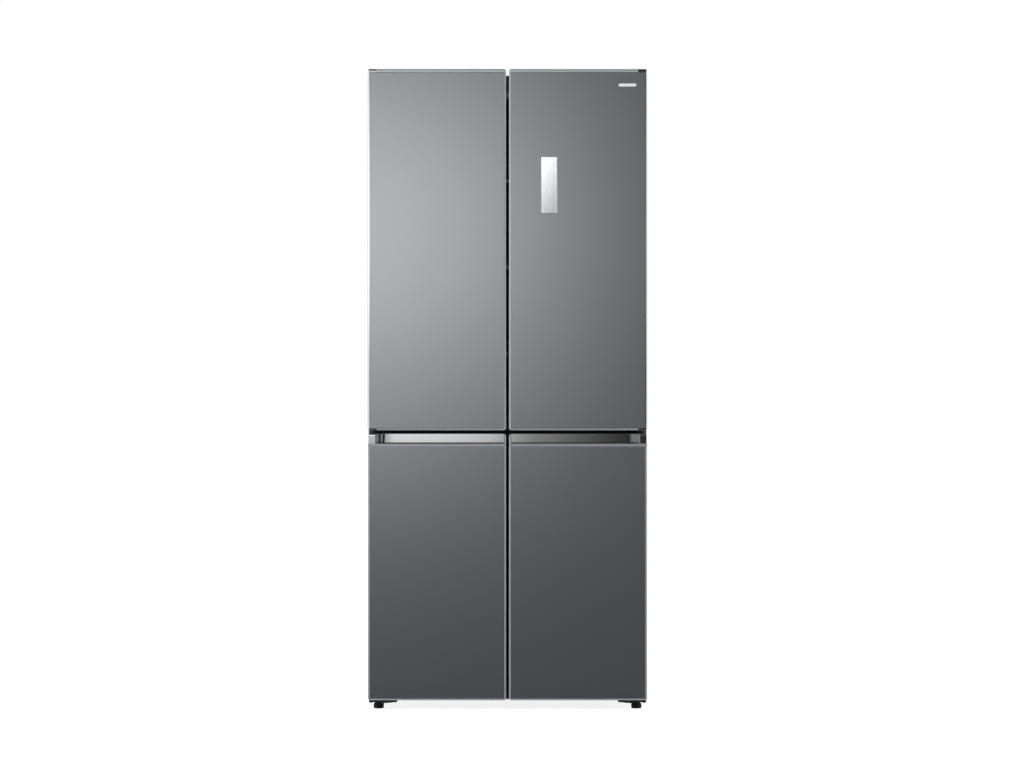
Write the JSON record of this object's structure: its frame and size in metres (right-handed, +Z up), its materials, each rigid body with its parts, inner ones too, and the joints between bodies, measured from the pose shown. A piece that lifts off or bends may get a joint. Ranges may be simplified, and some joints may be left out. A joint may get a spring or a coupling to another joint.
{
  "type": "french door refrigerator",
  "caption": "Free-standing refrigerator with two tall fridge doors over two freezer doors, recessed bright grips, door bins, shelves, crispers and freezer drawers.",
  "frame": {"origin": "on the floor, under the middle of the closed refrigerator", "axes": "+Z up, -Y out of the front of the doors, +X to the right of someone facing the doors"},
  "size_m": [0.79, 0.7, 1.811],
  "materials": {
    "door_skin": "brushed dark stainless steel, satin",
    "door_frame": "satin metal edge trim",
    "grip_metal": "bright metal",
    "case_steel": "dark grey textured paint",
    "plain_steel": "bare galvanised steel",
    "black_steel": "black paint, satin",
    "foam": "rigid foam, matt",
    "liner_plastic": "white plastic, satin",
    "clear_plastic": "clear plastic",
    "shelf_glass": "toughened glass",
    "seal": "soft grey seal",
    "display": "flush pale glass",
    "dark_plastic": "dark grey plastic, matt",
    "black_plastic": "black plastic, matt",
    "mullion": "grey plastic, matt"
  },
  "bodies": {
    "cabinet": {"outer_case": "case_steel", "back_panel": "plain_steel", "base_pan": "plain_steel", "cabinet_foam": "foam", "fridge_liner": "liner_plastic", "freezer_liner": "liner_plastic", "divider_rail": "case_steel", "air_duct": "liner_plastic", "shelf_upper": "shelf_glass", "shelf_middle": "shelf_glass", "crisper_cover": "shelf_glass", "mullion_guide": "liner_plastic", "compressor": "black_steel", "machine_cover": "dark_plastic", "top_hinge_left": "plain_steel", "hinge_cover_left": "dark_plastic", "mid_hinge_left": "black_steel", "bottom_hinge_left": "black_steel", "top_hinge_right": "plain_steel", "hinge_cover_right": "dark_plastic", "mid_hinge_right": "black_steel", "bottom_hinge_right": "black_steel"},
    "foot_left": {"foot_left": "black_plastic"},
    "roller_left": {"roller_left": "black_plastic"},
    "upper_left_door": {"upper_left_frame": "door_frame", "upper_left_panel": "door_skin", "upper_left_liner": "liner_plastic", "upper_left_gasket": "seal"},
    "lower_left_door": {"lower_left_frame": "door_frame", "lower_left_panel": "door_skin", "lower_left_grip": "grip_metal", "lower_left_liner": "liner_plastic", "lower_left_gasket": "seal"},
    "bin_low_left": {"bin_low_left": "clear_plastic"},
    "bin_middle_left": {"bin_middle_left": "clear_plastic"},
    "bin_high_left": {"bin_high_left": "clear_plastic"},
    "crisper_left": {"crisper_left": "clear_plastic"},
    "drawer_top_left": {"drawer_top_left": "clear_plastic"},
    "drawer_middle_left": {"drawer_middle_left": "clear_plastic"},
    "drawer_bottom_left": {"drawer_bottom_left": "clear_plastic"},
    "foot_right": {"foot_right": "black_plastic"},
    "roller_right": {"roller_right": "black_plastic"},
    "upper_right_door": {"upper_right_frame": "door_frame", "upper_right_panel": "door_skin", "upper_right_liner": "liner_plastic", "upper_right_gasket": "seal", "display_window": "display"},
    "lower_right_door": {"lower_right_frame": "door_frame", "lower_right_panel": "door_skin", "lower_right_grip": "grip_metal", "lower_right_liner": "liner_plastic", "lower_right_gasket": "seal"},
    "bin_low_right": {"bin_low_right": "clear_plastic"},
    "bin_middle_right": {"bin_middle_right": "clear_plastic"},
    "bin_high_right": {"bin_high_right": "clear_plastic"},
    "crisper_right": {"crisper_right": "clear_plastic"},
    "drawer_top_right": {"drawer_top_right": "clear_plastic"},
    "drawer_middle_right": {"drawer_middle_right": "clear_plastic"},
    "drawer_bottom_right": {"drawer_bottom_right": "clear_plastic"},
    "mullion_beam": {"mullion_beam": "mullion"}
  },
  "joints": [
    {"name": "foot_left_height", "type": "slide", "parent": "cabinet", "child": "foot_left", "axis": [0, 0, -1], "range_m": [0, 0.012]},
    {"name": "roller_left_spin", "type": "hinge", "parent": "cabinet", "child": "roller_left", "pos_m": [-0.33, 0.285, 0.02], "axis": [1, 0, 0], "continuous": true},
    {"name": "upper_left_door_swing", "type": "hinge", "parent": "cabinet", "child": "upper_left_door", "pos_m": [-0.378, -0.316, 1.3], "axis": [0, 0, -1], "range_deg": [0, 110]},
    {"name": "lower_left_door_swing", "type": "hinge", "parent": "cabinet", "child": "lower_left_door", "pos_m": [-0.378, -0.316, 0.4], "axis": [0, 0, -1], "range_deg": [0, 110]},
    {"name": "bin_low_left_lift", "type": "slide", "parent": "upper_left_door", "child": "bin_low_left", "axis": [0, 0, 1], "range_m": [0, 0.04]},
    {"name": "bin_middle_left_lift", "type": "slide", "parent": "upper_left_door", "child": "bin_middle_left", "axis": [0, 0, 1], "range_m": [0, 0.04]},
    {"name": "bin_high_left_lift", "type": "slide", "parent": "upper_left_door", "child": "bin_high_left", "axis": [0, 0, 1], "range_m": [0, 0.04]},
    {"name": "crisper_left_slide", "type": "slide", "parent": "cabinet", "child": "crisper_left", "axis": [0, -1, 0], "range_m": [0, 0.07]},
    {"name": "drawer_top_left_slide", "type": "slide", "parent": "cabinet", "child": "drawer_top_left", "axis": [0, -1, 0], "range_m": [0, 0.07]},
    {"name": "drawer_middle_left_slide", "type": "slide", "parent": "cabinet", "child": "drawer_middle_left", "axis": [0, -1, 0], "range_m": [0, 0.07]},
    {"name": "drawer_bottom_left_slide", "type": "slide", "parent": "cabinet", "child": "drawer_bottom_left", "axis": [0, -1, 0], "range_m": [0, 0.07]},
    {"name": "foot_right_height", "type": "slide", "parent": "cabinet", "child": "foot_right", "axis": [0, 0, -1], "range_m": [0, 0.012]},
    {"name": "roller_right_spin", "type": "hinge", "parent": "cabinet", "child": "roller_right", "pos_m": [0.33, 0.285, 0.02], "axis": [1, 0, 0], "continuous": true},
    {"name": "upper_right_door_swing", "type": "hinge", "parent": "cabinet", "child": "upper_right_door", "pos_m": [0.378, -0.316, 1.3], "axis": [0, 0, 1], "range_deg": [0, 110]},
    {"name": "lower_right_door_swing", "type": "hinge", "parent": "cabinet", "child": "lower_right_door", "pos_m": [0.378, -0.316, 0.4], "axis": [0, 0, 1], "range_deg": [0, 110]},
    {"name": "bin_low_right_lift", "type": "slide", "parent": "upper_right_door", "child": "bin_low_right", "axis": [0, 0, 1], "range_m": [0, 0.04]},
    {"name": "bin_middle_right_lift", "type": "slide", "parent": "upper_right_door", "child": "bin_middle_right", "axis": [0, 0, 1], "range_m": [0, 0.04]},
    {"name": "bin_high_right_lift", "type": "slide", "parent": "upper_right_door", "child": "bin_high_right", "axis": [0, 0, 1], "range_m": [0, 0.04]},
    {"name": "crisper_right_slide", "type": "slide", "parent": "cabinet", "child": "crisper_right", "axis": [0, -1, 0], "range_m": [0, 0.07]},
    {"name": "drawer_top_right_slide", "type": "slide", "parent": "cabinet", "child": "drawer_top_right", "axis": [0, -1, 0], "range_m": [0, 0.07]},
    {"name": "drawer_middle_right_slide", "type": "slide", "parent": "cabinet", "child": "drawer_middle_right", "axis": [0, -1, 0], "range_m": [0, 0.07]},
    {"name": "drawer_bottom_right_slide", "type": "slide", "parent": "cabinet", "child": "drawer_bottom_right", "axis": [0, -1, 0], "range_m": [0, 0.07]},
    {"name": "mullion_beam_fold", "type": "hinge", "parent": "upper_left_door", "child": "mullion_beam", "pos_m": [-0.031, -0.2595, 1.284], "axis": [0, 0, -1], "range_deg": [0, 90]}
  ]
}
